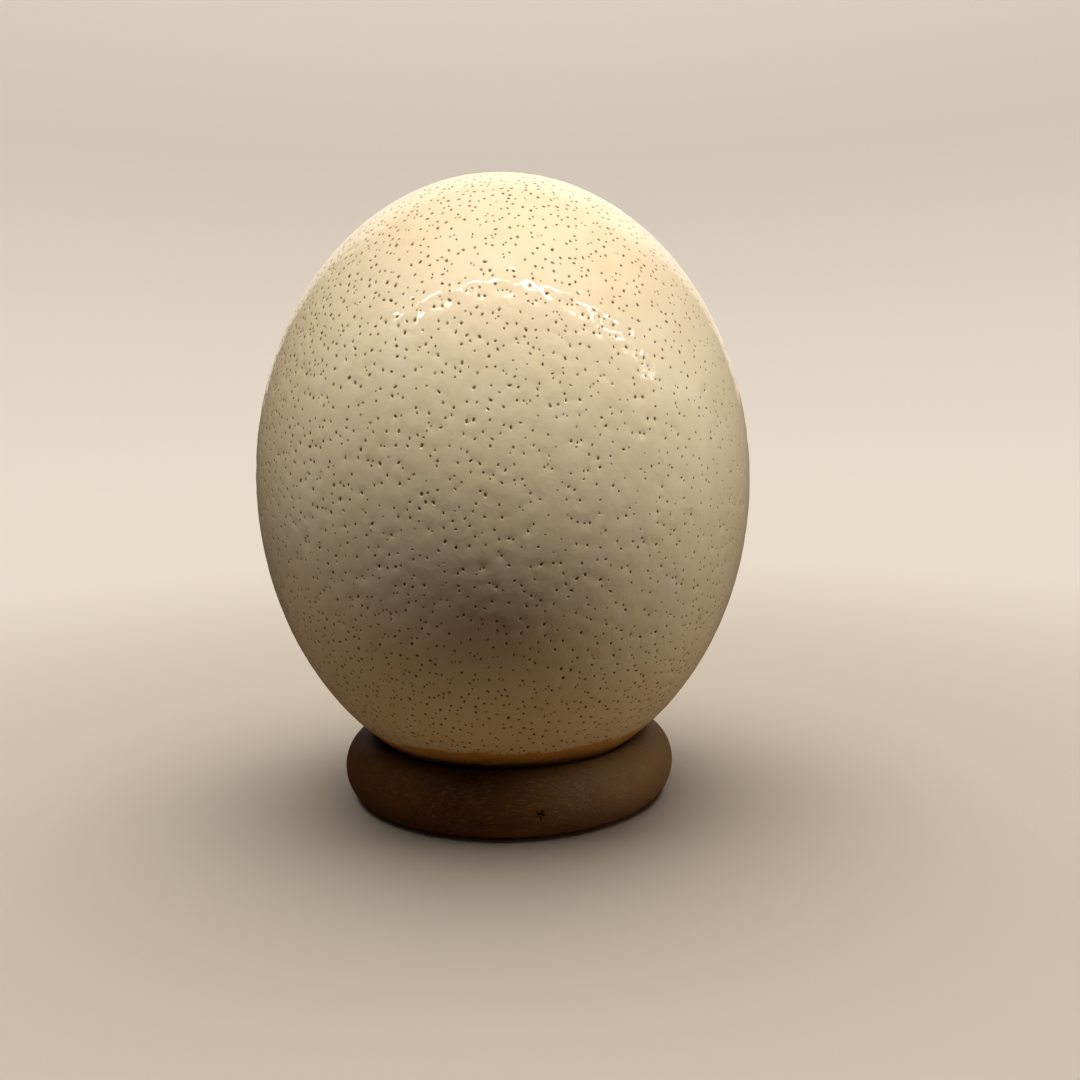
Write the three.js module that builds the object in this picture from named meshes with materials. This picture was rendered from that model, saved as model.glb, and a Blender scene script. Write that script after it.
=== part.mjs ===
// An ostrich egg that stands upright in a turned wooden ring.
// Millimetres, +Z up. The origin lies on the surface that the ring stands on, at the middle of the
// ring's foot. The egg's long axis is the Z axis, and the side that is looked at faces -Y.

import * as THREE from "three";
import { ConvexHull } from "three/addons/math/ConvexHull.js";

// The egg is a whole, unopened one. Its two ends are alike, so its form is a plain spheroid.
const EGG_WIDTH = 127;
const EGG_LENGTH = 156.6;

// The shell is pitted all over: a net of facet corners, every third of which is the bottom of a pit.
const SHELL_CORNERS = 3600;
const CORNERS_PER_PIT = 3;
const SHALLOWEST_PIT = 0.2;
const DEEPEST_PIT = 0.55;
const SHELL_UNEVENNESS = 0.08;
const CORNER_SCATTER = 0.22; // how far a corner strays, as a share of the net's spacing
const SHELL_SEED = 41;

// The ring is turned from one blank: an oval section, a little taller than it is wide, with a flat foot.
const RING_DIAMETER = 87.6;
const RING_THICKNESS = 13.8;
const RING_SECTION_HEIGHT = 16.4;
const RING_FOOT_CUT = 0.5; // what is turned off the bottom of the oval to make the foot
const RING_SECTION_STEPS = 18;
const RING_SEGMENTS = 64;

// The egg rests on the inner shoulder of the ring, with this much air between the two solids.
const SEAT_GAP = 0.3;

const SHELL_FINISH = { color: 0xe9dfc4, roughness: 0.32, metalness: 0 };
const WOOD_FINISH = { color: 0x4b2f1a, roughness: 0.55, metalness: 0 };

const eggRadius = EGG_WIDTH / 2;
const eggHalfLength = EGG_LENGTH / 2;
const ringRadius = RING_DIAMETER / 2;

// Numbers from 0 to 1 that are the same on every run.
function seededRandom(seed) {
  let state = seed;
  return () => {
    state = (state + 0x6d2b79f5) | 0;
    let mixed = Math.imul(state ^ (state >>> 15), 1 | state);
    mixed = (mixed + Math.imul(mixed ^ (mixed >>> 7), 61 | mixed)) ^ mixed;
    return ((mixed ^ (mixed >>> 14)) >>> 0) / 2 ** 32;
  };
}

// The point on the egg in a direction from its centre, sunk by a depth.
function eggPoint(direction, depth) {
  const shape = new THREE.Vector3(eggRadius, eggRadius, eggHalfLength);
  return direction.clone().multiply(shape).addScaledVector(direction, -depth);
}

// Directions spread evenly over the egg along a golden-angle spiral from its top to its bottom, each
// with the depth of its corner. The two ends and the four middles of the sides keep the full size.
function shellCorners() {
  const random = seededRandom(SHELL_SEED);
  const goldenAngle = Math.PI * (3 - Math.sqrt(5));
  const spacing = Math.sqrt((4 * Math.PI) / SHELL_CORNERS);
  const corners = new Map();
  for (let i = 1; i < SHELL_CORNERS - 1; i += 1) {
    const height = 1 - (2 * i) / (SHELL_CORNERS - 1);
    const radius = Math.sqrt(1 - height * height);
    const angle = i * goldenAngle;
    const direction = new THREE.Vector3(radius * Math.cos(angle), radius * Math.sin(angle), height);
    const stray = new THREE.Vector3(random() - 0.5, random() - 0.5, random() - 0.5);
    direction.addScaledVector(stray, 2 * CORNER_SCATTER * spacing).normalize();
    const isPit = i % CORNERS_PER_PIT === 0;
    const pit = SHALLOWEST_PIT + (DEEPEST_PIT - SHALLOWEST_PIT) * random();
    corners.set(direction, isPit ? pit : SHELL_UNEVENNESS * random());
  }
  for (const sign of [-1, 1]) {
    corners.set(new THREE.Vector3(sign, 0, 0), 0);
    corners.set(new THREE.Vector3(0, sign, 0), 0);
    corners.set(new THREE.Vector3(0, 0, sign), 0);
  }
  return corners;
}

// The closed, pitted surface of the egg about its own centre.
function eggGeometry() {
  const corners = shellCorners();
  const net = new ConvexHull().setFromPoints([...corners.keys()]);
  const points = [];
  for (const face of net.faces) {
    let edge = face.edge;
    do {
      const direction = edge.head().point;
      points.push(eggPoint(direction, corners.get(direction)));
      edge = edge.next;
    } while (edge !== face.edge);
  }
  return new THREE.BufferGeometry().setFromPoints(points);
}

// The ring's section, from the outer edge of the foot up and over to the inner edge and back.
function ringSection() {
  const halfWidth = RING_THICKNESS / 2;
  const halfHeight = RING_SECTION_HEIGHT / 2;
  const middleRadius = ringRadius - halfWidth;
  const middleHeight = halfHeight - RING_FOOT_CUT;
  const start = -Math.asin(middleHeight / halfHeight);
  const sweep = Math.PI - 2 * start;
  const section = [];
  for (let step = 0; step <= RING_SECTION_STEPS; step += 1) {
    const angle = start + (sweep * step) / RING_SECTION_STEPS;
    const radius = middleRadius + halfWidth * Math.cos(angle);
    const height = middleHeight + halfHeight * Math.sin(angle);
    section.push(new THREE.Vector2(radius, height));
  }
  section.push(section[0].clone());
  return section;
}

// The turned ring, stood up from the lathe's Y axis to Z.
function ringGeometry() {
  return new THREE.LatheGeometry(ringSection(), RING_SEGMENTS).rotateX(Math.PI / 2);
}

// How high the egg's centre lies when the egg, grown by the gap, rests on the ring's section.
function eggSeatHeight() {
  const width = eggRadius + SEAT_GAP;
  const length = eggHalfLength + SEAT_GAP;
  const heights = ringSection().map((point) => {
    const rise = length * Math.sqrt(1 - (point.x / width) ** 2);
    return point.y + rise;
  });
  return Math.max(...heights);
}

// A piece as a named mesh with its own finish.
function piece(name, geometry, finish) {
  const mesh = new THREE.Mesh(geometry, new THREE.MeshStandardMaterial(finish));
  mesh.name = name;
  return mesh;
}

function ostrichEggOnRing() {
  const group = new THREE.Group();
  const ring = piece("ring_stand", ringGeometry(), WOOD_FINISH);
  const egg = piece("egg", eggGeometry(), SHELL_FINISH);
  egg.position.z = eggSeatHeight();
  group.add(ring, egg);
  return group;
}

export default ostrichEggOnRing();
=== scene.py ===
"""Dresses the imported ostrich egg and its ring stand: pitted shell, turned wood, floor, light and camera."""

from __future__ import annotations

import logging
import math
import random
from dataclasses import dataclass, field
from enum import Enum

import bmesh
import bpy
from mathutils import Matrix, Quaternion, Vector, kdtree, noise

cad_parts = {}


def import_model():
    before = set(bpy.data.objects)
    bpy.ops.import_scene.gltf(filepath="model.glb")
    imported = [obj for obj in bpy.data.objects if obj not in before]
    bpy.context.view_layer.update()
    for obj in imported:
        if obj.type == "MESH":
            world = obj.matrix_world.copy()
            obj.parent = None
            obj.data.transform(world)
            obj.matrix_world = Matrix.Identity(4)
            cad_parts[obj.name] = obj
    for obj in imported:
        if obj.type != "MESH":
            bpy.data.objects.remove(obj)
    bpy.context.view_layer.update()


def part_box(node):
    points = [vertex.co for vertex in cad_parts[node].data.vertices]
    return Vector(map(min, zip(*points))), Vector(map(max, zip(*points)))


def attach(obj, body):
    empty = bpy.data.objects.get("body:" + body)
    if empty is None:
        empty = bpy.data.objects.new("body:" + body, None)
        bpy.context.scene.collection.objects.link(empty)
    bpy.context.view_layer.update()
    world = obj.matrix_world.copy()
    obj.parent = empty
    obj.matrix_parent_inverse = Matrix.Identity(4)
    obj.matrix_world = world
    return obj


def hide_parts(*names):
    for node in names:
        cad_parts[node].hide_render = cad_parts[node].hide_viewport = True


log = logging.getLogger("ostrich_egg")

MM = 0.001  # the meshes are worked in millimetres and handed to Blender in metres
ROOT_BODY = "root"

Vec3 = tuple[float, float, float]
Colour = tuple[float, float, float, float]
Range = tuple[float, float]
BLACK: Colour = (0.0, 0.0, 0.0, 1.0)
FAR_FROM_PORES = Vector((0, 0, 10))  # what a corner outside every pore says of its place in one


class Slot(Enum):
    """The material slots that the record names."""

    EGGSHELL = "eggshell"
    DARK_WOOD = "dark_wood"


class PoreKind(Enum):
    """The three sorts of pore in the shell, from the easily seen to the barely seen."""

    WIDE = "wide"
    SMALL = "small"
    FAINT = "faint"


@dataclass(frozen=True)
class PoreShape:
    """How one sort of pore looks, in millimetres.

    Args:
        share: how many of all the pores are of this sort, 0 to 1.
        half_length: shortest and longest half length of its dark spot.
        slimness: least and most width over length.
        pit_depth: how deep its floor lies under its rim.
        dimple_depth: how deep the soft hollow round it is.
        darkness: least and most darkness of its spot, 0 to 1.
    """

    share: float
    half_length: tuple[float, float]
    slimness: tuple[float, float]
    pit_depth: float
    dimple_depth: tuple[float, float]
    darkness: tuple[float, float]


PORE_SHAPES: dict[PoreKind, PoreShape] = {
    PoreKind.WIDE: PoreShape(0.14, (0.4, 0.49), (0.5, 0.75), 0.24, (0.14, 0.2), (0.85, 1.0)),
    PoreKind.SMALL: PoreShape(0.58, (0.32, 0.4), (0.55, 0.85), 0.15, (0.08, 0.13), (0.75, 1.0)),
    PoreKind.FAINT: PoreShape(0.28, (0.24, 0.31), (0.65, 1.0), 0.08, (0.03, 0.06), (0.7, 1.0)),
}


@dataclass
class Pore:
    """One pore on the shell: its middle, its two half axes along the surface, and its look."""

    centre: Vector
    long_axis: Vector
    short_axis: Vector
    kind: PoreKind
    dimple: float
    darkness: float


class NodeBench:
    """Places and joins the nodes of one node tree."""

    def __init__(self, tree: bpy.types.NodeTree) -> None:
        """Takes the tree to work on."""
        self.tree = tree

    def add(self, kind: str, inputs: dict[str | int, object] | None = None,
            **settings: object) -> bpy.types.Node:
        """Places one node.

        Args:
            kind: the node's type name.
            inputs: socket name or number to a plain value or to a socket that feeds it.
            settings: properties of the node itself.

        Returns:
            The new node.
        """
        node = self.tree.nodes.new(kind)
        for name, value in settings.items():
            setattr(node, name, value)
        for name, value in (inputs or {}).items():
            if isinstance(value, bpy.types.NodeSocket):
                self.tree.links.new(value, node.inputs[name])
            else:
                node.inputs[name].default_value = value
        return node

    def math(self, operation: str, *values: object, clamp: bool = False) -> bpy.types.NodeSocket:
        """Places a Math node and returns its result socket."""
        node = self.add("ShaderNodeMath", dict(enumerate(values)), operation=operation, use_clamp=clamp)
        return node.outputs[0]

    def remap(self, value: object, low: float, high: float, to_low: float = 0.0, to_high: float = 1.0,
              smooth: bool = False) -> bpy.types.NodeSocket:
        """Places a Map Range node, from low..high to to_low..to_high, and returns its result socket."""
        kind = "SMOOTHSTEP" if smooth else "LINEAR"
        inputs = {"Value": value, "From Min": low, "From Max": high, "To Min": to_low, "To Max": to_high}
        return self.add("ShaderNodeMapRange", inputs, interpolation_type=kind).outputs[0]

    def blend(self, factor: object, first: object, second: object, mode: str = "MIX") -> bpy.types.NodeSocket:
        """Places a colour Mix node and returns its result socket."""
        node = self.add("ShaderNodeMix", data_type="RGBA", blend_type=mode)
        for name, value in (("Factor_Float", factor), ("A_Color", first), ("B_Color", second)):
            socket = next(s for s in node.inputs if s.identifier == name)
            if isinstance(value, bpy.types.NodeSocket):
                self.tree.links.new(value, socket)
            else:
                socket.default_value = value
        return next(s for s in node.outputs if s.identifier == "Result_Color")

    def noise(self, place: bpy.types.NodeSocket, scale: object, detail: float = 2.0,
              roughness: float = 0.5) -> bpy.types.Node:
        """Places a Noise Texture on the given coordinates."""
        inputs = {"Vector": place, "Scale": scale, "Detail": detail, "Roughness": roughness}
        return self.add("ShaderNodeTexNoise", inputs)

    def vector(self, operation: str, *values: object) -> bpy.types.NodeSocket:
        """Places a Vector Math node and returns its vector."""
        node = self.add("ShaderNodeVectorMath", dict(enumerate(values)), operation=operation)
        return node.outputs["Vector"]

    def length(self, value: bpy.types.NodeSocket) -> bpy.types.NodeSocket:
        """Places a Vector Math node that measures a vector, and returns its length."""
        return self.add("ShaderNodeVectorMath", {0: value}, operation="LENGTH").outputs["Value"]

    def group(self, tree: bpy.types.NodeTree, inputs: dict[str, object]) -> bpy.types.NodeSocket:
        """Places a shared group with its own values and returns its first output."""
        return self.add("ShaderNodeGroup", inputs, node_tree=tree).outputs[0]


def linear(red: int, green: int, blue: int) -> Colour:
    """Turns a display colour, 0 to 255 a channel, into the linear colour that shaders use."""
    channels = [c / 255 for c in (red, green, blue)]
    spread = [c / 12.92 if c <= 0.04045 else ((c + 0.055) / 1.055) ** 2.4 for c in channels]
    return (*spread, 1.0)


def new_material(name: str) -> tuple[bpy.types.Material, NodeBench, bpy.types.Node]:
    """Makes a node material that holds a Principled shader joined to the output.

    Returns:
        The material, a bench on its tree, and the Principled node.
    """
    material = bpy.data.materials.new(name)
    material.use_nodes = True
    material.node_tree.nodes.clear()
    bench = NodeBench(material.node_tree)
    shader = bench.add("ShaderNodeBsdfPrincipled")
    bench.add("ShaderNodeOutputMaterial", {"Surface": shader.outputs["BSDF"]})
    return material, bench, shader


@dataclass(frozen=True)
class Effects:
    """The node groups that the shell and the wood share, each built once."""

    mottle: bpy.types.NodeTree
    ragged: bpy.types.NodeTree


def new_group(name: str, sockets: dict[str, tuple[str, str]]) -> tuple[NodeBench, bpy.types.Node]:
    """Makes an empty shader node group.

    Args:
        name: the group's name.
        sockets: each socket's name, with INPUT or OUTPUT and its kind.

    Returns:
        A bench on the group's tree, and the node that gives out its inputs.
    """
    tree = bpy.data.node_groups.new(name, "ShaderNodeTree")
    for socket, (side, kind) in sockets.items():
        tree.interface.new_socket(socket, in_out=side, socket_type=f"NodeSocket{kind}")
    bench = NodeBench(tree)
    return bench, bench.add("NodeGroupInput")


def mottle_group(fine_over_wide: float = 5.3, fine_share: float = 0.35,
                 spread: Range = (0.32, 0.68)) -> bpy.types.NodeTree:
    """Builds soft cloudiness of two sizes.

    Args:
        fine_over_wide: how many times finer the small clouds are.
        fine_share: the small clouds' share of the whole.
        spread: the noise values that become 0 and 1.

    Returns:
        The node group. Its inputs are Vector and Size, in wide clouds per metre, and its output is Cloud,
        0 to 1.
    """
    bench, source = new_group("soft_mottle", {
        "Vector": ("INPUT", "Vector"), "Size": ("INPUT", "Float"), "Cloud": ("OUTPUT", "Float")})
    place, size = source.outputs["Vector"], source.outputs["Size"]
    wide = bench.noise(place, size, 3.0, 0.55).outputs["Fac"]
    fine = bench.noise(place, bench.math("MULTIPLY", size, fine_over_wide), 2.0, 0.5).outputs["Fac"]
    both = bench.math("MULTIPLY_ADD", fine, fine_share, bench.math("MULTIPLY", wide, 1 - fine_share))
    bench.add("NodeGroupOutput", {"Cloud": bench.remap(both, *spread)})
    return bench.tree


def ragged_group() -> bpy.types.NodeTree:
    """Builds the small random shift that makes an edge ragged.

    Returns:
        The node group. Its inputs are Vector, Density, in shifts per metre, and Reach, how far the shifts
        go, and its output is Shift.
    """
    bench, source = new_group("ragged_edge", {
        "Vector": ("INPUT", "Vector"), "Density": ("INPUT", "Float"), "Reach": ("INPUT", "Float"),
        "Shift": ("OUTPUT", "Vector")})
    bumps = bench.noise(source.outputs["Vector"], source.outputs["Density"]).outputs["Color"]
    even = bench.vector("SUBTRACT", bumps, (0.5, 0.5, 0.5))
    shift = bench.add("ShaderNodeVectorMath", {0: even, "Scale": source.outputs["Reach"]}, operation="SCALE")
    bench.add("NodeGroupOutput", {"Shift": shift.outputs[0]})
    return bench.tree


@dataclass(frozen=True)
class ShellFinish:
    """Cream, glazed shell: cloudy tint, dark pores in yellowed rims, painted bounce light from the wood at
    its foot and a fine peel bump.

    The pores' sizes are shares of a dark spot's own half size, and all others are metres.
    """

    cream: Colour = linear(238, 226, 196)
    tan: Colour = linear(229, 212, 174)
    pore_brown: Colour = linear(64, 41, 14)
    rim_yellow: Colour = linear(200, 170, 116)
    # the painted bounce light from the wood: its colour at the upper edge, and at the foot below
    stain_and_bounce_edge: Colour = linear(213, 175, 92)
    bounce_foot_colour: Colour = linear(186, 122, 46)
    cloud_per_metre: float = 26.0

    spot_edge: Range = (0.58, 1.04)  # from where the dark spot fades, and where it ends
    spot_bumps_per_metre: float = 2600.0
    spot_raggedness: float = 0.9
    rim_edge: Range = (0.8, 1.45)
    rim_strength: float = 0.5

    bounce_top: float = 0.0219  # how high over the floor the painted bounce light at the egg's foot ends
    bounce_full_height: float = 0.0155  # and how high it has its full colour
    bounce_softness: float = 0.0012
    wide_waves: Range = (70.0, 0.0015)  # waves per metre in the stain's edge, and how far they go
    fine_waves: Range = (420.0, 0.0006)
    pores_in_bounce_light: float = 0.35  # how dark the pores still are there

    roughness: float = 0.4
    roughness_of_clouds: float = 0.06
    roughness_of_pores: float = 0.3
    gloss: float = 0.4
    gloss_roughness: float = 0.02
    peel_per_metre: float = 800.0
    peel_depth: float = 0.00012
    peel_strength: float = 0.4

    def material(self, effects: Effects) -> bpy.types.Material:
        """Builds the material.

        Args:
            effects: the shared node groups.

        Returns:
            The shell's material.
        """
        material, bench, shader = new_material("eggshell")
        place = bench.add("ShaderNodeTexCoord").outputs["Object"]
        cloud = bench.group(effects.mottle, {"Vector": place, "Size": self.cloud_per_metre})
        ground = bench.blend(cloud, self.cream, self.tan)
        spot, rim = self.pore_masks(bench, place, effects)
        # painted bounce light from the wood at the foot, with the pores showing less in it
        bounce_mask, ground = self.paint_foot_bounce_light(bench, place, ground)
        ground = bench.blend(rim, ground, self.rim_yellow)
        shown = bench.math("MULTIPLY", spot, bench.remap(bounce_mask, 0.0, 1.0, 1.0, self.pores_in_bounce_light))
        bench.tree.links.new(bench.blend(shown, ground, self.pore_brown), shader.inputs["Base Color"])

        rough = bench.math("MULTIPLY_ADD", cloud, self.roughness_of_clouds, self.roughness)
        rough = bench.math("MULTIPLY_ADD", spot, self.roughness_of_pores, rough)
        bench.tree.links.new(rough, shader.inputs["Roughness"])
        shader.inputs["Coat Roughness"].default_value = self.gloss_roughness
        coat = bench.math("MULTIPLY", bench.math("SUBTRACT", 1.0, spot), self.gloss)
        bench.tree.links.new(coat, shader.inputs["Coat Weight"])

        peel = bench.noise(place, self.peel_per_metre, 3.0, 0.55)
        bump = bench.add("ShaderNodeBump", {
            "Strength": self.peel_strength, "Distance": self.peel_depth, "Height": peel.outputs["Fac"]})
        bench.tree.links.new(bump.outputs["Normal"], shader.inputs["Normal"])
        return material

    def pore_masks(self, bench: NodeBench, place: bpy.types.NodeSocket,
                   effects: Effects) -> tuple[bpy.types.NodeSocket, bpy.types.NodeSocket]:
        """Turns the mesh's pore layers into masks.

        Args:
            bench: the bench of the material's tree.
            place: the Object coordinates.
            effects: the shared node groups.

        Returns:
            The mask of the dark spots, with ragged edges, and the mask of the yellowed rims round them.
        """
        in_pore = bench.add("ShaderNodeAttribute", attribute_name="pore_place").outputs["Vector"]
        tone = bench.add("ShaderNodeAttribute", attribute_name="pore_tone").outputs["Fac"]
        shift = bench.group(effects.ragged, {
            "Vector": place, "Density": self.spot_bumps_per_metre, "Reach": self.spot_raggedness})
        ragged = bench.length(bench.vector("ADD", in_pore, shift))
        spot = bench.math("MULTIPLY", bench.remap(ragged, *self.spot_edge, 1.0, 0.0, smooth=True), tone)
        even = bench.length(in_pore)
        rim = bench.math("MULTIPLY", bench.remap(even, *self.rim_edge, 1.0, 0.0, smooth=True), tone)
        return spot, bench.math("MULTIPLY", rim, self.rim_strength)

    def paint_foot_bounce_light(self, bench: NodeBench, place: bpy.types.NodeSocket,
                   ground: bpy.types.NodeSocket) -> tuple[bpy.types.NodeSocket, bpy.types.NodeSocket]:
        """Paints bounce light from the wood, a deep yellow-brown, on the shell where it sits in the wood, up
        to a wavering edge.

        Args:
            bench: the bench of the material's tree.
            place: the Object coordinates.
            ground: the shell's colour.

        Returns:
            The mask of the painted bounce light and the colour with it painted on.
        """
        height = bench.add("ShaderNodeSeparateXYZ", {0: place}).outputs["Z"]
        for (per_metre, reach), detail in ((self.wide_waves, 2.0), (self.fine_waves, 3.0)):
            wave = bench.noise(place, per_metre, detail).outputs["Fac"]
            height = bench.math("ADD", height, bench.remap(wave, 0.3, 0.7, -reach, reach))
        bounce_mask = bench.remap(height, self.bounce_top, self.bounce_top - self.bounce_softness, smooth=True)
        deep = bench.remap(height, self.bounce_top, self.bounce_full_height)
        tint = bench.blend(deep, self.stain_and_bounce_edge, self.bounce_foot_colour)
        return bounce_mask, bench.blend(bounce_mask, ground, tint)


@dataclass(frozen=True)
class WoodFinish:
    """Dark turned hardwood: short dashes of grain along X, a side painted paler as painted light, painted
    shade on the inner shoulder and one old pit.

    Places and sizes are metres.
    """

    dark: Colour = linear(60, 33, 5)
    warm: Colour = linear(92, 58, 18)
    dash: Colour = linear(138, 110, 68)
    # also the colour of the painted shade on the inner shoulder
    pore: Colour = linear(26, 13, 3)
    # the colour of the painted light on the +X side
    side_light_colour: Colour = linear(132, 106, 74)
    cloud_per_metre: float = 45.0

    grain_stretch: Vec3 = (0.22, 1.0, 1.0)
    fibres_per_metre: float = 1500.0
    fibre_spread: Range = (0.34, 0.68)
    marks_per_metre: float = 2600.0
    dash_marks: Range = (0.6, 0.72)  # the marks over this are pale dashes
    hole_marks: Range = (0.4, 0.3)  # and the ones under this are dark holes
    hole_strength: float = 0.5
    dash_strength: float = 0.3
    dash_on_lit_side: float = 0.3  # how much more the dashes show on the side painted paler

    lit_side_span: Range = (-0.012, 0.036)  # from where along X the wood is painted paler as painted light, and where fully
    side_light_strength: float = 0.54
    side_light_on_dark: float = 0.65  # the share of the painted light that lies on the darkest clouds
    shoulder: Range = (0.0385, 0.035)  # the radii between which the inner shoulder gets painted shade
    shoulder_side: Range = (0.02, -0.015)  # and from where along X it does, and where fully
    shoulder_shade_strength: float = 0.7

    stain_bumps_per_metre: float = 1800.0
    stain_raggedness: float = 0.0012
    # for the wood this is only the real stain round the pit: where it fades, and where it ends
    stain_and_bounce_edge: Range = (0.00045, 0.00075)
    ray_waves: float = 2.5  # cosine waves in one turn, each of which gives two rays
    ray_turn: float = 0.5
    ray_sharpness: float = 8.0
    ray_reach: float = 1.6
    check_shape: Vec3 = (0.35, 1.0, 1.6)
    check_edge: Range = (0.0003, 0.0011)
    check_strength: float = 0.5

    roughness: float = 0.56
    roughness_of_fibres: float = 0.14
    shine: float = 0.12
    relief: float = 0.00012
    relief_strength: float = 0.4

    def material(self, effects: Effects, pit: Vector) -> bpy.types.Material:
        """Builds the material.

        Args:
            effects: the shared node groups.
            pit: the middle of the pit's mouth, in metres.

        Returns:
            The wood's material.
        """
        material, bench, shader = new_material("dark_wood")
        place = bench.add("ShaderNodeTexCoord").outputs["Object"]
        along = bench.add("ShaderNodeMapping", {"Vector": place, "Scale": self.grain_stretch}).outputs[0]
        cloud = bench.group(effects.mottle, {"Vector": place, "Size": self.cloud_per_metre})
        fibres = bench.noise(along, self.fibres_per_metre, 3.0, 0.6).outputs["Fac"]
        streak = bench.remap(fibres, *self.fibre_spread)
        tint = bench.math("MULTIPLY_ADD", cloud, 0.5, bench.math("MULTIPLY", streak, 0.5))
        ground = bench.blend(tint, self.dark, self.warm)

        marks = bench.noise(along, self.marks_per_metre, 1.0).outputs["Fac"]
        side = bench.add("ShaderNodeSeparateXYZ", {0: place}).outputs["X"]
        # the +X side is painted paler as painted light, and its dashes show more
        lit_side = bench.remap(side, *self.lit_side_span, smooth=True)
        shown = bench.math("MULTIPLY_ADD", lit_side, self.dash_on_lit_side, self.dash_strength)
        dashes = bench.math("MULTIPLY", bench.remap(marks, *self.dash_marks, smooth=True), shown)
        ground = bench.blend(dashes, ground, self.dash)
        holes = bench.remap(marks, *self.hole_marks, smooth=True)
        ground = bench.blend(bench.math("MULTIPLY", holes, self.hole_strength), ground, self.pore)

        # painted light on the +X side and painted shade on the inner shoulder
        ground = self.paint_side_light_and_shoulder_shade(bench, place, ground, cloud, lit_side)
        stain = self.pit_stain(bench, place, pit, effects)
        bench.tree.links.new(bench.blend(stain, ground, self.pore), shader.inputs["Base Color"])
        rough = bench.remap(streak, 0.0, 1.0, self.roughness, self.roughness + self.roughness_of_fibres)
        bench.tree.links.new(rough, shader.inputs["Roughness"])
        shader.inputs["Specular IOR Level"].default_value = self.shine
        bump = bench.add("ShaderNodeBump", {
            "Strength": self.relief_strength, "Distance": self.relief,
            "Height": bench.math("SUBTRACT", streak, holes)})
        bench.tree.links.new(bump.outputs["Normal"], shader.inputs["Normal"])
        return material

    def paint_side_light_and_shoulder_shade(self, bench: NodeBench, place: bpy.types.NodeSocket, ground: bpy.types.NodeSocket,
             cloud: bpy.types.NodeSocket, lit_side: bpy.types.NodeSocket) -> bpy.types.NodeSocket:
        """Paints the +X side paler as painted light, and paints shade on the inner shoulder towards -X.

        Args:
            bench: the bench of the material's tree.
            place: the Object coordinates.
            ground: the wood's colour.
            cloud: the shared cloudiness.
            lit_side: the mask of the side painted paler as painted light.

        Returns:
            The colour with the painted light and the painted shade.
        """
        # painted light: the +X side is painted paler
        painted_side_light = bench.math("MULTIPLY", lit_side, self.side_light_strength)
        painted_side_light = bench.math("MULTIPLY", painted_side_light, bench.remap(cloud, 0.0, 1.0, self.side_light_on_dark, 1.0))
        ground = bench.blend(painted_side_light, ground, self.side_light_colour)
        # painted shade: the inner shoulder towards -X is darkened to the pore colour
        radius = bench.length(bench.vector("MULTIPLY", place, (1.0, 1.0, 0.0)))
        side = bench.add("ShaderNodeSeparateXYZ", {0: place}).outputs["X"]
        inner = bench.remap(radius, *self.shoulder, smooth=True)
        painted_shoulder_shade = bench.math("MULTIPLY", inner, bench.remap(side, *self.shoulder_side))
        return bench.blend(bench.math("MULTIPLY", painted_shoulder_shade, self.shoulder_shade_strength), ground, self.pore)

    def pit_stain(self, bench: NodeBench, place: bpy.types.NodeSocket, pit: Vector,
                  effects: Effects) -> bpy.types.NodeSocket:
        """Masks the dark stain in and round the pit, with short rays and checks along the grain.

        Args:
            bench: the bench of the material's tree.
            place: the Object coordinates.
            pit: the middle of the pit's mouth, in metres.
            effects: the shared node groups.

        Returns:
            The mask.
        """
        shift = bench.group(effects.ragged, {
            "Vector": place, "Density": self.stain_bumps_per_metre, "Reach": self.stain_raggedness})
        offset = bench.vector("SUBTRACT", bench.vector("ADD", place, shift), pit)
        axes = bench.add("ShaderNodeSeparateXYZ", {0: offset})
        bearing = bench.math("ARCTAN2", axes.outputs["Z"], axes.outputs["X"])
        wave = bench.math("COSINE", bench.math("MULTIPLY_ADD", bearing, self.ray_waves, self.ray_turn))
        rays = bench.math("POWER", bench.math("ABSOLUTE", wave), self.ray_sharpness)
        stretch = bench.math("MULTIPLY_ADD", rays, self.ray_reach, 1.0)
        starred = bench.math("DIVIDE", bench.length(offset), stretch)
        core = bench.remap(starred, *self.stain_and_bounce_edge, 1.0, 0.0, smooth=True)
        reach = bench.length(bench.vector("MULTIPLY", offset, self.check_shape))
        checks = bench.remap(reach, *self.check_edge, 1.0, 0.0, smooth=True)
        return bench.math("MAXIMUM", core, bench.math("MULTIPLY", checks, self.check_strength))


@dataclass(frozen=True)
class FloorFinish:
    """Plain pale studio sweep, lit evenly out to its wall by a faint glow of its own."""

    colour: Colour = linear(222, 214, 202)
    glow: Colour = (0.30, 0.275, 0.25, 1.0)
    glow_zone: Range = (0.046, 0.5)  # how far from the middle, in metres, the glow begins, and is full
    roughness: float = 0.8
    shine: float = 0.2

    def material(self) -> bpy.types.Material:
        """Builds the sweep's matte material.

        Returns:
            The material.
        """
        material, bench, shader = new_material("floor")
        place = bench.add("ShaderNodeTexCoord").outputs["Object"]
        share = bench.remap(bench.length(place), *self.glow_zone, smooth=True)
        bench.tree.links.new(bench.blend(share, BLACK, self.glow), shader.inputs["Emission Color"])
        shader.inputs["Emission Strength"].default_value = 1.0
        shader.inputs["Base Color"].default_value = self.colour
        shader.inputs["Roughness"].default_value = self.roughness
        shader.inputs["Specular IOR Level"].default_value = self.shine
        return material


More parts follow.
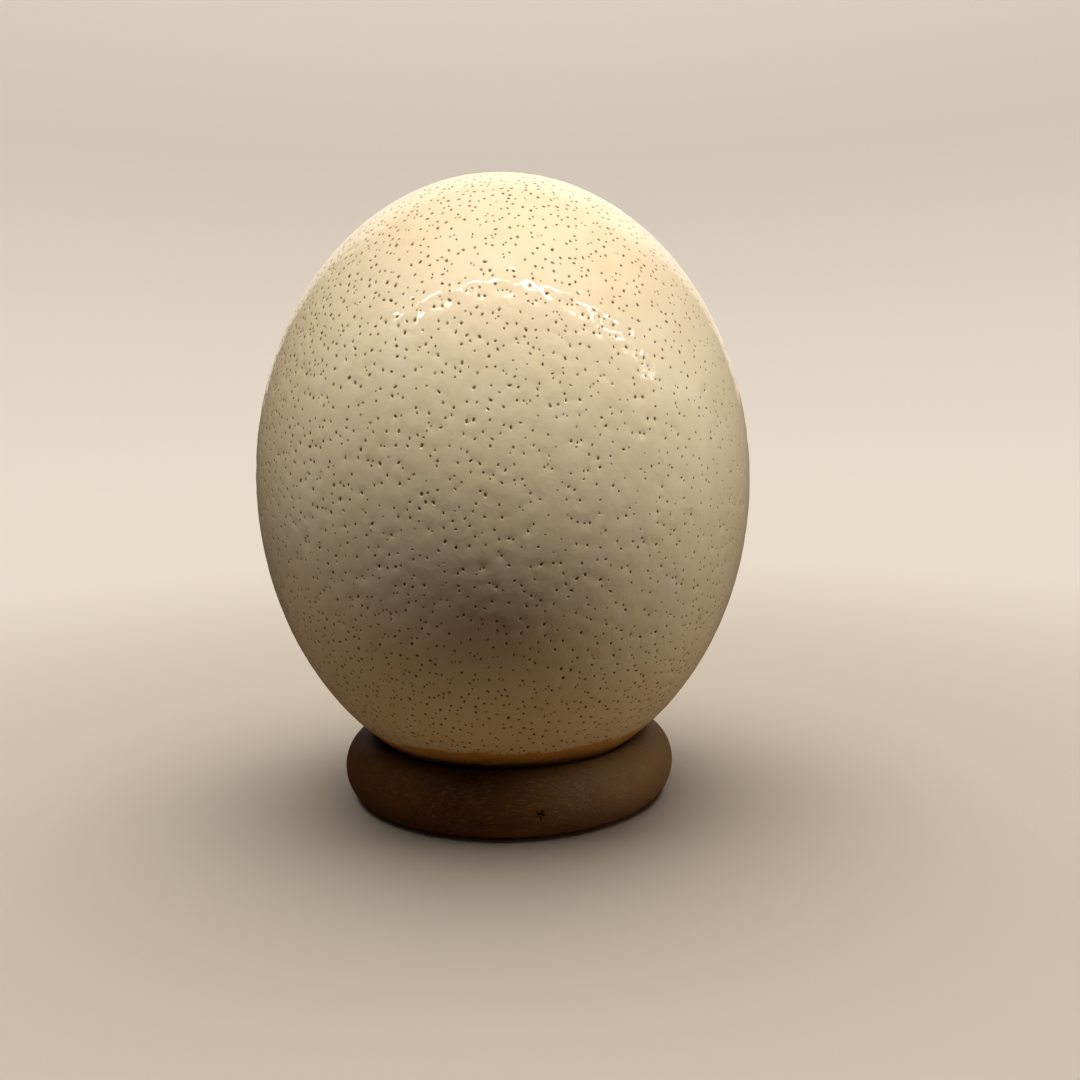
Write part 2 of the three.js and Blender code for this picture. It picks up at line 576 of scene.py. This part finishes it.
def add_object(name: str, bm: bmesh.types.BMesh, material: bpy.types.Material) -> bpy.types.Object:
    """Turns a finished bmesh, in millimetres, into a smooth-shaded object in metres at the origin.

    Args:
        name: the piece's name.
        bm: the bmesh, which is freed.
        material: its finish.

    Returns:
        The new object, linked to the scene.
    """
    bmesh.ops.scale(bm, vec=(MM, MM, MM), verts=bm.verts)
    bmesh.ops.recalc_face_normals(bm, faces=bm.faces)
    for face in bm.faces:
        face.smooth = True
    mesh = bpy.data.meshes.new(name)
    bm.to_mesh(mesh)
    bm.free()
    mesh.materials.append(material)
    piece = bpy.data.objects.new(name, mesh)
    bpy.context.collection.objects.link(piece)
    return piece


def tree_of(points: list[Vector]) -> kdtree.KDTree:
    """Builds a search tree over points, each under its number in the list."""
    tree = kdtree.KDTree(len(points))
    for index, point in enumerate(points):
        tree.insert(point, index)
    tree.balance()
    return tree


@dataclass
class EggShell:
    """The egg's whole surface, with every pore as a real pit in a shallow dimple. Millimetres.

    Args:
        centre: the egg's centre.
        radii: its half sizes along X, Y and Z.
    """

    centre: Vector
    radii: Vector
    seed: int = 20
    net_level: int = 6
    corner_packing: float = 1.1547  # a corner's own ground over the square of the net's spacing
    scatter_rounds: int = 5
    scatter: float = 0.16  # each round's stray, as a share of the net's spacing
    crowded_side: Vec3 = (-0.08, 0.03, 0.0)  # the pores crowd a little to this side
    crowded_ends: float = 1.12  # and to both ends

    nearest_pores: float = 0.74
    nearest_corners: float = 0.7  # as a share of that
    bare_spots: float = 0.12
    bare_spot_size: float = 5.0
    lie_spread: float = 38.0  # degrees that the pores' length strays from upright
    growth: float = 0.9
    growth_to_ends: float = 0.5  # pores are larger towards the ends, by this share
    growth_to_side: float = 0.16  # and towards -X
    middle_darkness: float = 0.8  # how dark the pores in the middle of the front and back are, against 1
    middle_reach: float = 0.6  # how far out that fades, as a share of the half width and half length

    first_opening: float = 0.2
    rim_over_spot: float = 1.48
    rim_over_room: float = 0.48  # a rim's longest radius over the distance to the nearest pore
    lip_over_spot: float = 1.08
    lip_inset: float = 0.05
    lip_depth: float = 0.035
    smallest_poked: float = 1.7  # square millimetres of ground that get a corner in their middle
    longest_edge: float = 3.0
    evening_rounds: int = 2
    dimple_reach: float = 0.8
    dimple_end: float = 2.6  # reaches past which a dimple is too shallow to count
    swells: tuple[Range, ...] = ((4.2, 0.055), (10.0, 0.1))  # length and height of each size
    pores: list[Pore] = field(default_factory=list)

    def on_surface(self, point: Vector) -> Vector:
        """Moves a point, given from the egg's centre, straight out or in to the smooth egg."""
        unit = Vector((point.x / self.radii.x, point.y / self.radii.y, point.z / self.radii.z)).normalized()
        return Vector((unit.x * self.radii.x, unit.y * self.radii.y, unit.z * self.radii.z))

    def outward(self, point: Vector) -> Vector:
        """The smooth egg's outward direction at a point on it."""
        slope = [value / radius**2 for value, radius in zip(point, self.radii)]
        return Vector(slope).normalized()

    def scattered_net(self, rng: random.Random) -> bmesh.types.BMesh:
        """Makes the net of corners: an icosphere whose corners have strayed till no grid is left.

        Args:
            rng: the seeded random numbers.

        Returns:
            A closed triangle net on the smooth egg, about its centre.
        """
        net = bmesh.new()
        bmesh.ops.create_icosphere(net, subdivisions=self.net_level, radius=1.0)
        stray = self.scatter * math.sqrt(4 * math.pi * self.corner_packing / len(net.verts))
        for _ in range(self.scatter_rounds):
            for vert in net.verts:
                step = Vector([rng.gauss(0, stray) for _ in range(3)])
                vert.co = (vert.co + step).normalized()
            bmesh.ops.beautify_fill(net, faces=net.faces[:], edges=net.edges[:], method="ANGLE")
        bmesh.ops.scale(net, vec=(1, 1, self.crowded_ends), verts=net.verts)
        bmesh.ops.translate(net, vec=self.crowded_side, verts=net.verts)
        for vert in net.verts:
            vert.co = vert.co.normalized()
        bmesh.ops.scale(net, vec=self.radii, verts=net.verts)
        bmesh.ops.remove_doubles(net, verts=net.verts, dist=self.nearest_pores * self.nearest_corners)
        return net

    def pore_corners(self, net: bmesh.types.BMesh, rng: random.Random) -> list[bmesh.types.BMVert]:
        """Chooses the corners that become pores: nearly all, bar a few spots, and never two that touch.

        Args:
            net: the net of corners.
            rng: the seeded random numbers.

        Returns:
            The chosen corners, in the net's order.
        """
        chosen: set[bmesh.types.BMVert] = set()
        order = list(net.verts)
        rng.shuffle(order)
        for vert in order:
            bareness = noise.noise(vert.co / self.bare_spot_size) * self.bare_spots
            if rng.random() < bareness:
                continue
            near = (edge for edge in vert.link_edges if edge.other_vert(vert) in chosen)
            if any(edge.calc_length() < self.nearest_pores for edge in near):
                continue
            chosen.add(vert)
        return [vert for vert in net.verts if vert in chosen]

    def new_pore(self, centre: Vector, room: float, rng: random.Random) -> Pore:
        """Draws one pore's sort, size, lie and darkness.

        Args:
            centre: where it is on the egg.
            room: how far off the middle of the nearest other pore is.
            rng: the seeded random numbers.

        Returns:
            The pore, small enough that its rim keeps clear of the others.
        """
        kind = rng.choices(list(PORE_SHAPES), [shape.share for shape in PORE_SHAPES.values()])[0]
        shape = PORE_SHAPES[kind]
        up = self.outward(centre)
        side = up.cross(Vector((0, 0, 1))).normalized()
        upright = side.cross(up)
        turn = Quaternion(up, rng.gauss(0, math.radians(self.lie_spread)))
        growth = self.growth + self.growth_to_ends * abs(centre.z / self.radii.z)
        growth -= self.growth_to_side * centre.x / self.radii.x
        drawn = rng.uniform(*shape.half_length) * growth
        half_length = min(drawn, room * self.rim_over_room / self.rim_over_spot)
        long_axis = turn @ upright * -half_length
        short_axis = turn @ side * half_length * rng.uniform(*shape.slimness)
        dimple = rng.uniform(*shape.dimple_depth)
        outwards = max(abs(centre.x / self.radii.x), abs(centre.z / self.radii.z))
        off_middle = min(1.0, outwards / self.middle_reach)
        darkness = rng.uniform(*shape.darkness)
        darkness *= self.middle_darkness + (1 - self.middle_darkness) * off_middle
        return Pore(centre, long_axis, short_axis, kind, dimple, darkness)

    def cut_pores(self, net: bmesh.types.BMesh, rng: random.Random) -> None:
        """Opens every chosen corner into a rim, evens the ground between, and sinks the floors.

        Args:
            net: the net, which is changed. It gains the layers pore_place, pore_tone and sunk.
            rng: the seeded random numbers.
        """
        place = net.verts.layers.float_vector.new("place")
        tone = net.verts.layers.float.new("tone")
        sunk = net.verts.layers.float.new("sunk")
        in_pore = net.faces.layers.int.new("in_pore")
        corners = self.pore_corners(net, rng)
        made = bmesh.ops.bevel(net, geom=corners, offset=self.first_opening, offset_type="OFFSET", segments=1,
                               profile=0.5, affect="VERTICES", material=-1, clamp_overlap=True)
        openings = [face for face in made["faces"] if face.is_valid]
        centres = [self.on_surface(face.calc_center_median()) for face in openings]
        tree = tree_of(centres)
        for face, centre in zip(openings, centres):
            face[in_pore] = 1
            _, (_, _, room) = tree.find_n(centre, 2)
            pore = self.new_pore(centre, room, rng)
            self.pores.append(pore)
            self.shape_ring(face, pore, self.rim_over_spot, place, tone)
        self.even_ground(net, in_pore)
        for vert in net.verts:
            vert[sunk] = 0
        self.sink_floors(net, openings, place, tone, sunk)
        for edge in net.edges:
            edge.smooth = len({face[in_pore] for face in edge.link_faces}) == 1
        self.keep_marks(net, place, tone, in_pore)

    def even_ground(self, net: bmesh.types.BMesh, in_pore: bmesh.types.BMLayerItem) -> None:
        """Fills the ground between the rims with small, well shaped triangles.

        Args:
            net: the net, which is changed.
            in_pore: the layer that marks the faces inside the rims, which stay as they are.
        """
        wide = [face for face in net.faces if not face[in_pore] and face.calc_area() > self.smallest_poked]
        bmesh.ops.poke(net, faces=wide)
        long_edges = [edge for edge in net.edges if edge.calc_length() > self.longest_edge]
        bmesh.ops.subdivide_edges(net, edges=long_edges, cuts=1)
        bmesh.ops.triangulate(net, faces=[face for face in net.faces if not face[in_pore]])
        for _ in range(self.evening_rounds):
            free = [vert for vert in net.verts if not any(face[in_pore] for face in vert.link_faces)]
            bmesh.ops.smooth_vert(net, verts=free, factor=0.5, use_axis_x=True, use_axis_y=True,
                                  use_axis_z=True)
            for vert in free:
                vert.co = self.on_surface(vert.co)
            ground = [face for face in net.faces if not face[in_pore]]
            inner = [edge for edge in net.edges if not any(face[in_pore] for face in edge.link_faces)]
            bmesh.ops.beautify_fill(net, faces=ground, edges=inner, method="ANGLE")

    def keep_marks(self, net: bmesh.types.BMesh, place: bmesh.types.BMLayerItem,
                   tone: bmesh.types.BMLayerItem, in_pore: bmesh.types.BMLayerItem) -> None:
        """Copies each corner's place and tone to the faces inside the rims, so they can't blur past them.

        Args:
            net: the net, which gains the layers pore_place and pore_tone.
            place: the layer that holds each corner's place in its pore, which is taken away.
            tone: the layer that holds each corner's darkness.
            in_pore: the layer that marks the faces inside the rims.
        """
        spot = net.loops.layers.float_vector.new("pore_place")
        mark = net.loops.layers.float.new("pore_tone")
        for face in net.faces:
            for loop in face.loops:
                loop[spot] = loop.vert[place] if face[in_pore] else FAR_FROM_PORES
                loop[mark] = loop.vert[tone] if face[in_pore] else 0.0
        net.verts.layers.float_vector.remove(place)

    def shape_ring(self, face: bmesh.types.BMFace, pore: Pore, size: float, place: bmesh.types.BMLayerItem,
                   tone: bmesh.types.BMLayerItem) -> None:
        """Sets a face's corners on an even oval round the pore.

        Args:
            face: the face whose corners are moved.
            pore: the pore that it belongs to.
            size: the oval's size, as a share of the dark spot's.
            place: the layer that keeps each corner's place in the pore.
            tone: the layer that keeps the pore's darkness.
        """
        ring = [loop.vert for loop in face.loops]
        long_unit = pore.long_axis.normalized()
        short_unit = pore.short_axis.normalized()

        def bearing(vert: bmesh.types.BMVert) -> float:
            """The corner's angle about the pore's middle."""
            offset = vert.co - pore.centre
            return math.atan2(offset.dot(long_unit), offset.dot(short_unit))

        start = bearing(ring[0])
        turn = math.tau / len(ring)
        ahead = (bearing(ring[1]) - start) % math.tau
        if ahead > math.pi:
            turn = -turn
        slack = 0.0
        for index, vert in enumerate(ring):
            slack += (bearing(vert) - start - turn * index + math.pi) % math.tau - math.pi
        start += slack / len(ring)
        for index, vert in enumerate(ring):
            angle = start + turn * index
            across, along = size * math.cos(angle), size * math.sin(angle)
            vert.co = self.on_surface(pore.centre + pore.short_axis * across + pore.long_axis * along)
            vert[place] = Vector((across, along, 0))
            vert[tone] = pore.darkness

    def sink_floors(self, net: bmesh.types.BMesh, openings: list[bmesh.types.BMFace],
                    place: bmesh.types.BMLayerItem, tone: bmesh.types.BMLayerItem,
                    sunk: bmesh.types.BMLayerItem) -> None:
        """Gives the wide pores a level lip inside the rim, and pokes every pore down to its floor.

        Args:
            net: the net, which is changed.
            openings: the face of each pore, in the order of the pores.
            place: the layer that keeps each corner's place in its pore.
            tone: the layer that keeps the pore's darkness.
            sunk: the layer that keeps how far each corner is pushed in.
        """
        lipped = [(face, pore) for face, pore in zip(openings, self.pores) if pore.kind is PoreKind.WIDE]
        bmesh.ops.inset_individual(net, faces=[face for face, _ in lipped], thickness=self.lip_inset,
                                   use_even_offset=False)
        for face, pore in lipped:
            self.shape_ring(face, pore, self.lip_over_spot, place, tone)
            for vert in face.verts:
                vert[sunk] = self.lip_depth
        made = bmesh.ops.poke(net, faces=openings)
        for vert, pore in zip(made["verts"], self.pores):
            vert.co = pore.centre.copy()
            vert[place] = Vector((0, 0, 0))
            vert[tone] = pore.darkness
            vert[sunk] = PORE_SHAPES[pore.kind].pit_depth

    def raise_relief(self, net: bmesh.types.BMesh) -> None:
        """Lays every corner on the egg and sinks it into the dimples, swells and pits that it belongs to."""
        sunk = net.verts.layers.float["sunk"]
        tree = tree_of([pore.centre for pore in self.pores])
        for vert in net.verts:
            base = self.on_surface(vert.co)
            dimple = 0.0
            for _, index, distance in tree.find_range(base, self.dimple_end * self.dimple_reach):
                dimple += self.pores[index].dimple * math.exp(-((distance / self.dimple_reach) ** 2))
            swell = sum(height * (0.5 - 0.5 * noise.noise(base / length)) for length, height in self.swells)
            depth = dimple + swell + vert[sunk]
            vert.co = base - self.outward(base) * depth + self.centre

    def build(self, material: bpy.types.Material) -> bpy.types.Object:
        """Makes the shell, dresses it, and lets it stand for the CAD egg.

        Args:
            material: the shell's finish.

        Returns:
            The finished piece.
        """
        rng = random.Random(self.seed)
        net = self.scattered_net(rng)
        self.cut_pores(net, rng)
        self.raise_relief(net)
        piece = add_object("pitted_shell", net, material)
        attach(piece, ROOT_BODY)
        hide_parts("egg")
        return piece


@dataclass
class RingStand:
    """The turned ring: an oval section with a flat foot, and one small pit in its front. Millimetres.

    Args:
        radius: the outside radius.
        height: the height over the floor.
    """

    radius: float
    height: float
    thickness: float = 13.8
    foot_cut: float = 0.5
    section_steps: int = 72
    turns: int = 288
    pit_bearing: float = -79.3  # degrees from +X
    pit_rise: float = -3.5  # degrees round the section from its outermost point
    pit_width: float = 0.75
    pit_depth: float = 0.55
    pit_end: float = 3.0  # widths past which the pit is too shallow to count
    pit_raggedness: Range = (1.7, 0.5)  # bumps of its mouth per millimetre, and how far they go
    refined_round_pit: Range = (4.0, 2.6)  # widths within which the wood is cut finer, once for each

    def section_point(self, angle: float) -> Vector:
        """The point of the section, in the plane of X and Z, at an angle from its outermost point."""
        half_width = self.thickness / 2
        half_height = (self.height + self.foot_cut) / 2
        across = self.radius - half_width + half_width * math.cos(angle)
        return Vector((across, 0, half_height - self.foot_cut + half_height * math.sin(angle)))

    def section(self) -> list[Vector]:
        """The section's points, from the foot's outer edge over to its inner edge."""
        half_height = (self.height + self.foot_cut) / 2
        start = -math.asin((half_height - self.foot_cut) / half_height)
        sweep = math.pi - 2 * start
        return [self.section_point(start + sweep * step / self.section_steps)
                for step in range(self.section_steps + 1)]

    def pit_place(self) -> Vector:
        """The middle of the pit's mouth."""
        point = self.section_point(math.radians(self.pit_rise))
        return Matrix.Rotation(math.radians(self.pit_bearing), 3, "Z") @ point

    def sink_pit(self, bm: bmesh.types.BMesh) -> None:
        """Refines the wood round the pit and pushes it in, with a ragged mouth."""
        middle = self.pit_place()
        for reach in self.refined_round_pit:
            near = {vert for vert in bm.verts if (vert.co - middle).length < reach * self.pit_width}
            edges = [edge for edge in bm.edges if all(vert in near for vert in edge.verts)]
            bmesh.ops.subdivide_edges(bm, edges=edges, cuts=1, use_grid_fill=True)
        inward = Vector((-middle.x, -middle.y, 0)).normalized()
        bumps, bump_reach = self.pit_raggedness
        for vert in bm.verts:
            distance = (vert.co - middle).length / self.pit_width
            if distance < self.pit_end:
                ragged = distance + bump_reach * noise.noise(vert.co * bumps)
                vert.co += inward * self.pit_depth * math.exp(-max(ragged, 0) ** 2)

    def build(self, material: bpy.types.Material) -> bpy.types.Object:
        """Spins the section, dresses the ring, and lets it stand for the CAD ring.

        Args:
            material: the wood's finish.

        Returns:
            The finished piece.
        """
        bm = bmesh.new()
        points = [bm.verts.new(point) for point in self.section()]
        edges = [bm.edges.new(pair) for pair in zip(points, points[1:] + points[:1])]
        bmesh.ops.spin(bm, geom=points + edges, cent=(0, 0, 0), axis=(0, 0, 1), dvec=(0, 0, 0),
                       angle=math.tau, steps=self.turns, use_merge=True)
        bmesh.ops.remove_doubles(bm, verts=bm.verts, dist=0.001)
        self.sink_pit(bm)
        piece = add_object("turned_ring", bm, material)
        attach(piece, ROOT_BODY)
        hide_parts("ring_stand")
        return piece


@dataclass(frozen=True)
class Lamp:
    """One rectangular studio lamp. Metres and watts.

    Args:
        name: its name.
        place: where it hangs.
        aim: the point that it faces.
        size: its length and its width.
        watts: its power.
    """

    name: str
    place: Vec3
    aim: Vec3
    size: tuple[float, float]
    watts: float


@dataclass
class Studio:
    """A plain pale sweep, its lights and the camera. Metres.

    Every lamp has the same warm white. The floor box lights only the sweep, and the others only the object
    and the card under it, as on a product table. The strip draws the thin line of gloss on the shell.
    """

    lamp_white: Vec3 = (1.0, 0.91, 0.82)
    ambient: float = 0.02
    strip: Lamp = Lamp("strip", (0.19, -0.163, 0.40), (0.19, -0.163, 0.0), (0.94, 0.0035), 1.57)
    top_box: Lamp = Lamp("top_box", (0.05, -0.13, 0.42), (0.05, -0.13, 0.0), (0.7, 0.06), 1.22)
    side_boxes: tuple[Lamp, ...] = (
        Lamp("left_box", (-0.45, -0.05, 0.2), (0.0, 0.0, 0.08), (0.3, 0.4), 0.1),
        Lamp("right_box", (0.45, -0.05, 0.2), (0.0, 0.0, 0.08), (0.3, 0.4), 0.4),
        Lamp("back_box", (0.0, 0.55, 0.40), (0.0, 0.0, 0.09), (0.8, 0.6), 2.0),
    )
    floor_box: Lamp = Lamp("floor_box", (0.0, 0.1, 1.2), (0.0, 0.0, 0.0), (1.4, 1.2), 16.0)

    flat_rings: tuple[float, ...] = (0.0, 0.1, 0.2, 0.35, 0.48)  # where the flat floor has its edges
    flat_radius: float = 0.5
    bend_radius: float = 0.35
    bend_step: int = 10  # degrees
    wall_height: float = 1.3
    sweep_steps: int = 96
    card_brown: Colour = linear(189, 160, 128)
    card_width: float = 0.9
    card_front: float = -0.112
    card_back: float = 0.1
    card_drop: float = 0.0005  # how far under the floor the card lies
    camera_place: Vec3 = (0.00907, -0.28478, 0.10192)
    film_width: float = 36.0  # millimetres
    camera_pitch: float = 7.11  # degrees below level
    camera_turn: float = -0.845  # degrees about the line of sight
    lens_over_frame: float = 1.0009

    def sweep(self) -> bpy.types.Object:
        """Spins the floor that bends up into a wall all round.

        It is seen and takes shadows, but throws no light back at the object: the card under it does.

        Returns:
            The sweep.
        """
        profile = [(radius, 0.0) for radius in self.flat_rings]
        for angle in range(-90, 1, self.bend_step):
            across = self.flat_radius + self.bend_radius * math.cos(math.radians(angle))
            profile.append((across, self.bend_radius * (1 + math.sin(math.radians(angle)))))
        profile.append((self.flat_radius + self.bend_radius, self.wall_height))
        bm = bmesh.new()
        points = [bm.verts.new(Vector((x, 0, z)) / MM) for x, z in profile]
        edges = [bm.edges.new(pair) for pair in zip(points, points[1:])]
        bmesh.ops.spin(bm, geom=points + edges, cent=(0, 0, 0), axis=(0, 0, 1), dvec=(0, 0, 0),
                       angle=math.tau, steps=self.sweep_steps, use_merge=True)
        bmesh.ops.remove_doubles(bm, verts=bm.verts, dist=0.01)
        piece = add_object("floor", bm, FloorFinish().material())
        piece.visible_diffuse = False
        piece.visible_glossy = False
        piece.visible_shadow = False
        return piece

    def table_card(self) -> bpy.types.Object:
        """Lays the brown card just under the floor that the object takes its upward light from."""
        material, _, shader = new_material("table_card")
        shader.inputs["Base Color"].default_value = self.card_brown
        shader.inputs["Roughness"].default_value = 1.0
        shader.inputs["Specular IOR Level"].default_value = 0.0
        bm = bmesh.new()
        bmesh.ops.create_grid(bm, x_segments=1, y_segments=1, size=0.5 / MM)
        depth = self.card_back - self.card_front
        middle = (self.card_back + self.card_front) / 2
        bmesh.ops.scale(bm, vec=(self.card_width, depth, 1), verts=bm.verts)
        bmesh.ops.translate(bm, vec=Vector((0, middle, -self.card_drop)) / MM, verts=bm.verts)
        card = add_object("table_card", bm, material)
        card.visible_camera = False
        card.visible_shadow = False
        return card

    def hang(self, lamp: Lamp, lit: list[bpy.types.Object] | None = None) -> bpy.types.Object:
        """Hangs one lamp.

        Args:
            lamp: the lamp.
            lit: the only objects that it lights, or None for all.

        Returns:
            The light object.
        """
        data = bpy.data.lights.new(lamp.name, "AREA")
        data.shape = "RECTANGLE"
        data.size, data.size_y = lamp.size
        data.energy = lamp.watts
        data.color = self.lamp_white
        light = bpy.data.objects.new(lamp.name, data)
        light.location = lamp.place
        light.rotation_euler = (Vector(lamp.aim) - Vector(lamp.place)).to_track_quat("-Z", "Y").to_euler()
        light.visible_camera = False
        bpy.context.collection.objects.link(light)
        if lit:
            receivers = bpy.data.collections.new(f"{lamp.name}_lights")
            for piece in lit:
                receivers.objects.link(piece)
            light.light_linking.receiver_collection = receivers
        return light

    def lights(self, pieces: list[bpy.types.Object], card: bpy.types.Object, floor: bpy.types.Object) -> None:
        """Hangs the lamps and sets the faint ambient light.

        Args:
            pieces: the pieces of the object.
            card: the card under the object.
            floor: the sweep.
        """
        self.hang(self.strip, [*pieces, card])
        self.hang(self.top_box, pieces).visible_glossy = False  # the strip alone draws the gloss there
        for lamp in self.side_boxes:
            self.hang(lamp, pieces)
        self.hang(self.floor_box, [floor])
        world = bpy.data.worlds.new("studio")
        world.use_nodes = True
        bench = NodeBench(world.node_tree)
        world.node_tree.nodes.clear()
        sky = bench.add("ShaderNodeBackground", {"Color": (*self.lamp_white, 1.0), "Strength": self.ambient})
        bench.add("ShaderNodeOutputWorld", {"Surface": sky.outputs[0]})
        bpy.context.scene.world = world

    def camera(self) -> bpy.types.Object:
        """Sets up the camera a little above the ring, looking slightly down."""
        data = bpy.data.cameras.new("camera")
        data.sensor_width = self.film_width
        data.lens = self.film_width * self.lens_over_frame
        data.clip_start = 0.01
        camera = bpy.data.objects.new("camera", data)
        tilt = Matrix.Rotation(math.radians(90 - self.camera_pitch), 4, "X")
        turn = Matrix.Rotation(math.radians(self.camera_turn), 4, "Z")
        camera.matrix_world = Matrix.Translation(self.camera_place) @ tilt @ turn
        bpy.context.collection.objects.link(camera)
        bpy.context.scene.camera = camera
        return camera


def main() -> None:
    """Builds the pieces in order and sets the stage."""
    logging.basicConfig(level=logging.INFO, format="%(name)s: %(message)s")
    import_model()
    effects = Effects(mottle=mottle_group(), ragged=ragged_group())

    egg_low, egg_high = (Vector(corner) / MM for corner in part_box("egg"))
    shell = EggShell(centre=(egg_low + egg_high) / 2, radii=(egg_high - egg_low) / 2)
    shell_piece = shell.build(ShellFinish().material(effects))
    log.info("%s: %d pores, %d faces", shell_piece.name, len(shell.pores), len(shell_piece.data.polygons))

    ring_high = Vector(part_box("ring_stand")[1]) / MM
    ring = RingStand(radius=ring_high.x, height=ring_high.z)
    ring_piece = ring.build(WoodFinish().material(effects, ring.pit_place() * MM))
    log.info("%s: %d faces", ring_piece.name, len(ring_piece.data.polygons))

    studio = Studio()
    floor = studio.sweep()
    card = studio.table_card()
    studio.lights([shell_piece, ring_piece], card, floor)
    studio.camera()
    bpy.context.scene.view_settings.view_transform = "Standard"
    log.info("floor, lights and camera are set")


if __name__ == "__main__":
    main()
